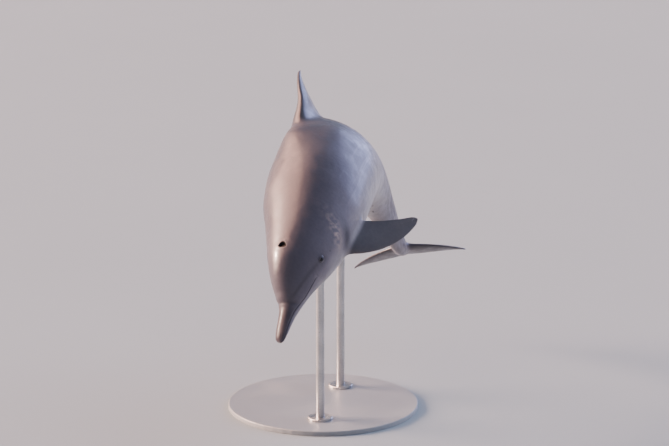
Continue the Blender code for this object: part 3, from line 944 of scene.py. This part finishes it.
def mixColour(tree, factor, a, b):
    # a Mix node's colours go in at its sockets 6 and 7 and come out at 2
    node = addNode(tree, "Mix", {"Factor": factor}, data_type="RGBA")
    for index, value in ((6, a), (7, b)):
        if isinstance(value, bpy.types.NodeSocket):
            tree.links.new(value, node.inputs[index])
        else:
            node.inputs[index].default_value = (*value, 1.0)
    return node.outputs[2]


def times(tree, a, b):
    return compute(tree, "MULTIPLY", a, b)


def cover(tree, colour, mask, share, other):
    # lays another colour over part of a colour
    return mixColour(tree, times(tree, mask, share), colour, other)


def between(tree, mask, low, high):
    return addNode(tree, "MapRange", {
        "Value": mask, "To Min": low, "To Max": high}).outputs["Result"]


def connect(tree, shader, colour, rough, bumpSizes, height):
    tree.links.new(colour, shader.inputs["Base Color"])
    tree.links.new(rough, shader.inputs["Roughness"])
    strength, distance = bumpSizes
    bump = addNode(tree, "Bump", {"Height": height, "Strength": strength, "Distance": distance})
    tree.links.new(bump.outputs["Normal"], shader.inputs["Normal"])


def valueOf(tree, name, output="Fac"):
    return addNode(tree, "Attribute", attribute_name=name).outputs[output]


def newMaterial(name, plain):
    made = bpy.data.materials.new(name)
    made.use_nodes = True
    shader = made.node_tree.nodes["Principled BSDF"]
    for socket, value in plain.items():
        shader.inputs[socket].default_value = value
    return made, made.node_tree, shader


skinLook = {
    # tone, colour
    "tones": [
        (0.00, (0.460, 0.425, 0.420)),
        (0.13, (0.365, 0.335, 0.340)),
        (0.26, (0.245, 0.230, 0.243)),
        (0.40, (0.158, 0.141, 0.158)),
        (0.58, (0.097, 0.085, 0.102)),
        (0.80, (0.065, 0.057, 0.072)),
        (1.00, (0.057, 0.050, 0.063)),
    ],
    "toneDrift": 0.17,
    # how far each mark covers the ones before it, and its colour
    "covers": {
        # pale lavender streaks on the flank: painted sky reflection
        "reflectionStreaks": (0.34, (0.390, 0.365, 0.420)),
        # a warm painted reflection on the left shoulder
        "warmReflection": (0.70, (0.400, 0.300, 0.245)),
        # painted shade before each flipper
        "flipperShade": (0.88, (0.036, 0.034, 0.042)),
        "fins": (0.86, (0.036, 0.034, 0.042)),
        "beak": (0.50, (0.038, 0.031, 0.033)),
        "rakes": (0.30, (0.360, 0.345, 0.370)),
        "mottling": (0.09, (0.020, 0.020, 0.025)),
        "lidShade": (0.72, (0.030, 0.028, 0.034)),
        "creaseShade": (0.28, (0.030, 0.028, 0.034)),
        # painted shade in the mouth line, blowhole, ear pits, belly slits and eye openings
        "recessShade": (0.95, (0.006, 0.005, 0.006)),
    },
    # scale, detail, and the two noise levels
    "patches": {
        "drift": (4.2, 5.0, 0.30, 0.70),
        "rakeGroups": (3.1, 2.0, 0.50, 0.66),
        "mottling": (75.0, 3.0, 0.36, 0.66),
        "wet": (19.0, 3.0, 0.46, 0.60),
        "pores": (420.0, 2.0, 0.30, 0.70),
        "waves": (26.0, 3.0, 0.20, 0.80),
    },
    # stretch, turn, and the two noise levels
    "lines": {
        # the streaks of painted sky reflection on the flank
        "reflectionStreaks": ((40.0, 1.5, 40.0), 0.12, 0.46, 0.72),
        "warmReflection": ((60.0, 34.0, 22.0), -0.4, 0.40, 0.62),
        "rakes": ((90.0, 1.7, 90.0), 0.40, 0.64, 0.74),
        "folds": ((9.0, 150.0, 9.0), 0.0, 0.30, 0.75),
    },
    # tones, places behind the snout or heights over the body, from none to full
    "flankTones": (0.80, 0.45), "beakTones": (0.50, 0.64),
    "behindHead": (0.50, 0.90), "beakPlaces": (0.190, 0.125), "finHeights": (0.001, 0.024),
    "relief": {"folds": 0.16, "pores": 0.10, "waves": 0.90, "rakes": -0.12},
    # away from the beak and on it
    "specular": (0.45, 0.16), "coat": (0.25, 0.07),
    "roughDry": 0.46, "roughWet": 0.34, "roughInMarks": 0.45,
    "shader": {"IOR": 1.42, "Coat Roughness": 0.17, "Coat IOR": 1.34},
    "bump": (0.35, 0.0016),
}


def toneRamp(tree, tone, stops):
    shades = addNode(tree, "ValToRGB", {"Fac": tone})
    shades.color_ramp.interpolation = "B_SPLINE"
    while len(shades.color_ramp.elements) < len(stops):
        shades.color_ramp.elements.new(0.5)
    for element, (place, colour) in zip(shades.color_ramp.elements, stops):
        element.position = place
        element.color = (*colour, 1.0)
    return shades.outputs["Color"]


def skinMaterial():
    s = skinLook
    made, tree, shader = newMaterial("dolphinSkin", s["shader"])
    straight = valueOf(tree, "straight", "Vector")
    along = addNode(tree, "SeparateXYZ", {"Vector": straight}).outputs["Y"]
    tone = valueOf(tree, "tone")
    masks = {name: maskFrom(patches, tree, straight, sizes) for name, sizes in s["patches"].items()}
    masks |= {name: maskFrom(lines, tree, straight, sizes) for name, sizes in s["lines"].items()}
    masks |= {name: valueOf(tree, name) for name in ("flipperShade", "lidShade", "creaseShade", "recessShade")}

    # pale streaks on the flank as painted sky reflection, a warm painted reflection by the left flipper, and
    # thin tooth marks in loose groups
    behindHead = softStep(tree, along, *s["behindHead"])
    reflectionStreaks = times(tree, masks["reflectionStreaks"], softStep(tree, tone, *s["flankTones"]))
    masks["reflectionStreaks"] = times(tree, reflectionStreaks, behindHead)
    masks["warmReflection"] = times(tree, masks["warmReflection"], valueOf(tree, "warmReflection"))
    masks["rakes"] = times(tree, masks["rakes"], times(tree, masks["rakeGroups"], behindHead))
    masks["fins"] = softStep(tree, valueOf(tree, "finness"), *s["finHeights"])
    # the top of the beak is browner and less glossy than the head
    onBeak = times(tree, softStep(tree, along, *s["beakPlaces"]), softStep(tree, tone, *s["beakTones"]))
    tree.links.new(between(tree, onBeak, *s["specular"]), shader.inputs["Specular IOR Level"])
    tree.links.new(between(tree, onBeak, *s["coat"]), shader.inputs["Coat Weight"])
    masks["beak"] = onBeak

    drift = times(tree, compute(tree, "SUBTRACT", masks["drift"], 0.5), s["toneDrift"])
    colour = toneRamp(tree, compute(tree, "ADD", tone, drift, clamp=True), s["tones"])
    for name, (share, other) in s["covers"].items():
        colour = cover(tree, colour, masks[name], share, other)
    rough = between(tree, masks["wet"], s["roughDry"], s["roughWet"])
    rough = compute(tree, "ADD", rough, times(tree, masks["recessShade"], s["roughInMarks"]), clamp=True)
    height = 0.0
    for name, share in s["relief"].items():
        height = compute(tree, "ADD", height, times(tree, masks[name], share))
    connect(tree, shader, colour, rough, s["bump"], height)
    return made


eyeLook = {
    # the eye's own dark colours, darkened further as painted shade from the lids
    "pupil": (0.002, 0.002, 0.003), "iris": (0.016, 0.008, 0.005), "rim": (0.006, 0.004, 0.004),
    "shadedWhite": (0.020, 0.015, 0.013),
    # distances from the middle of the eye, as shares of its radius
    "pupilEdge": (0.24, 0.30), "irisEdge": (0.50, 0.60), "rimEdge": (0.72, 0.90),
    "pupilWidth": 0.78,
    "rays": ((22.0, 22.0, 3.0), 0.0, 0.35, 0.70),
    "shader": {
        "Roughness": 0.30, "Specular IOR Level": 0.20,
        "Coat Weight": 0.80, "Coat Roughness": 0.03, "Coat IOR": 1.34,
    },
}
steelLook = {
    "light": (0.620, 0.625, 0.630), "dark": (0.400, 0.405, 0.415), "darkShare": 0.5,
    "brushed": ((60.0, 60.0, 1400.0), 0.0, 0.25, 0.75),
    "cloudy": (14.0, 4.0, 0.30, 0.70),
    "rough": (0.24, 0.42),
    "shader": {"Metallic": 1.0, "Specular IOR Level": 0.5},
    "bump": (0.25, 0.0002),
}
baseLook = {
    "paint": (0.300, 0.310, 0.320), "worn": (0.370, 0.378, 0.385), "dust": (0.420, 0.415, 0.405),
    "wornShare": 0.5, "dustShare": 0.22,
    "scuffs": ((4.0, 70.0, 40.0), 0.3, 0.68, 0.74),
    "dusty": (3.5, 6.0, 0.45, 0.75),
    "grain": (900.0, 2.0, 0.30, 0.70),
    "rough": (0.38, 0.55),
    "shader": {"Coat Weight": 0.15, "Coat Roughness": 0.30},
    "bump": (0.12, 0.0003),
}
floorLook = {
    "half": 45.0,
    "colours": ((0.350, 0.395, 0.412), (0.362, 0.407, 0.424)),
    "cloudy": (0.6, 3.0, 0.20, 0.80),
    "shader": {"Roughness": 0.75, "Specular IOR Level": 0.25},
}


def eyeMaterial():
    s = eyeLook
    made, tree, shader = newMaterial("shadedEye", s["shader"])
    spot = valueOf(tree, "eyeSpot", "Vector")
    parts = addNode(tree, "SeparateXYZ", {"Vector": spot})
    across, up = times(tree, parts.outputs["X"], s["pupilWidth"]), parts.outputs["Y"]
    squares = compute(tree, "ADD", times(tree, across, across), times(tree, up, up))
    fromMiddle = compute(tree, "SQRT", squares, 0.0)
    colour = mixColour(tree, maskFrom(lines, tree, spot, s["rays"]), s["iris"], s["rim"])
    colour = mixColour(tree, softStep(tree, fromMiddle, *s["pupilEdge"]), s["pupil"], colour)
    colour = mixColour(tree, softStep(tree, fromMiddle, *s["irisEdge"]), colour, s["rim"])
    colour = mixColour(tree, softStep(tree, fromMiddle, *s["rimEdge"]), colour, s["shadedWhite"])
    tree.links.new(colour, shader.inputs["Base Color"])
    return made


def placeOn(tree):
    return addNode(tree, "TexCoord").outputs["Object"]


def steelMaterial():
    s = steelLook
    made, tree, shader = newMaterial("brushedSteel", s["shader"])
    place = placeOn(tree)
    brushed = maskFrom(lines, tree, place, s["brushed"])
    cloudy = maskFrom(patches, tree, place, s["cloudy"])
    colour = cover(tree, s["light"], compute(tree, "ADD", brushed, cloudy), s["darkShare"], s["dark"])
    connect(tree, shader, colour, between(tree, brushed, *s["rough"]), s["bump"], brushed)
    return made


def baseMaterial():
    s = baseLook
    made, tree, shader = newMaterial("basePaint", s["shader"])
    place = placeOn(tree)
    dust = maskFrom(patches, tree, place, s["dusty"])
    colour = cover(tree, s["paint"], maskFrom(lines, tree, place, s["scuffs"]), s["wornShare"], s["worn"])
    colour = cover(tree, colour, dust, s["dustShare"], s["dust"])
    grain = maskFrom(patches, tree, place, s["grain"])
    connect(tree, shader, colour, between(tree, dust, *s["rough"]), s["bump"], grain)
    return made


def floorMaterial():
    s = floorLook
    made, tree, shader = newMaterial("paleFloor", s["shader"])
    cloudy = maskFrom(patches, tree, placeOn(tree), s["cloudy"])
    tree.links.new(mixColour(tree, cloudy, *s["colours"]), shader.inputs["Base Color"])
    return made


bodyMesh = straightBody()
fins = straightFins()
print("straight body:", len(bodyMesh.polygons), "faces; fins:", sum(len(m.polygons) for m in fins.values()))
skin = uniteSkin(bodyMesh, fins)
finishSkin(skin)
skin.data.materials.clear()
skin.data.materials.append(skinMaterial())
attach(skin, "root")
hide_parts("beak_upper", "jaw_lower", "head", "neck", "trunk_front", "trunk_rear", "tail_stock",
            "dorsal_fin", "flipper_left", "flipper_right", "fluke_left", "fluke_right")

shadedEye = eyeMaterial()
for side, sign in (("Left", 1), ("Right", -1)):
    eye = makeEye(side, sign)
    eye.data.materials.append(shadedEye)
    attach(eye, "root")
    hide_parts("eye_" + side.lower())
print("eyes set")

steel, paint = steelMaterial(), baseMaterial()
for name, node in frame["nodes"].items():
    if name.startswith("stand_"):
        for slot in node.material_slots:
            slot.material = paint if name == "stand_base" else steel
print("stand finished")

half = floorLook["half"]
corners = [(-half, -half, 0), (half, -half, 0), (half, half, 0), (-half, half, 0)]
floorMesh = bpy.data.meshes.new("floor")
floorMesh.from_pydata(corners, [], [(0, 1, 2, 3)])
floor = addObject("floor", floorMesh)
floor.data.materials.append(floorMaterial())

viewSizes = {
    "aim": (0.08756, -0.16179, 0.92052),
    "towards": (0.20008, -0.94944, 0.24192),
    "distance": 11.9,
    "lens": 142.416,
    "sensor": 36.0,
    "clipEnd": 200.0,
}
aim, towards = Vector(viewSizes["aim"]), Vector(viewSizes["towards"]).normalized()
cameraData = bpy.data.cameras.new("camera")
cameraData.lens = viewSizes["lens"]
cameraData.sensor_width = viewSizes["sensor"]
cameraData.clip_end = viewSizes["clipEnd"]
camera = addObject("camera", cameraData)
camera.location = aim + towards * viewSizes["distance"]
camera.rotation_euler = (-towards).to_track_quat("-Z", "Y").to_euler()
bpy.context.scene.camera = camera

lightSizes = {
    # where it shines from: the view's right, towards the camera, up; then softness in degrees, strength,
    # colour, and whether it lights the skin or is mirrored in it
    "lowSun": ((-4.6, -0.8, 1.2), 30.0, 16.0, (1.00, 0.67, 0.54), "diffuse"),
    "sunGlint": ((-4.6, -1.0, 1.9), 4.0, 17.0, (1.00, 0.72, 0.58), "glossy"),
    "sunSheen": ((-4.6, -1.6, 4.0), 74.0, 14.5, (1.00, 0.53, 0.38), "glossy"),
    "skySheen": ((3.3, -4.6, 0.9), 46.0, 2.0, (0.50, 0.55, 1.00), "glossy"),
    "openSky": ((4.6, -2.2, 2.6), 70.0, 3.8, (0.66, 0.70, 1.00), "diffuse"),
}
skySizes = {"colour": (0.70, 0.79, 1.00), "strength": 0.44}
right = Vector((0, 0, 1)).cross(towards).normalized()
forward = Vector((towards.x, towards.y, 0)).normalized()
for name, (offset, softness, power, colour, use) in lightSizes.items():
    data = bpy.data.lights.new(name, "SUN")
    data.angle, data.energy, data.color = math.radians(softness), power, colour
    lamp = addObject(name, data)
    lamp.location = aim + right * offset[0] + forward * offset[1] + Vector((0, 0, offset[2]))
    lamp.rotation_euler = (lamp.location - aim).to_track_quat("Z", "Y").to_euler()
    lamp.visible_diffuse = use == "diffuse"
    lamp.visible_glossy = use == "glossy"

world = bpy.data.worlds.new("studio")
bpy.context.scene.world = world
world.use_nodes = True
backdrop = world.node_tree.nodes["Background"]
backdrop.inputs["Color"].default_value = (*skySizes["colour"], 1.0)
backdrop.inputs["Strength"].default_value = skySizes["strength"]
print("stage, light and camera set")
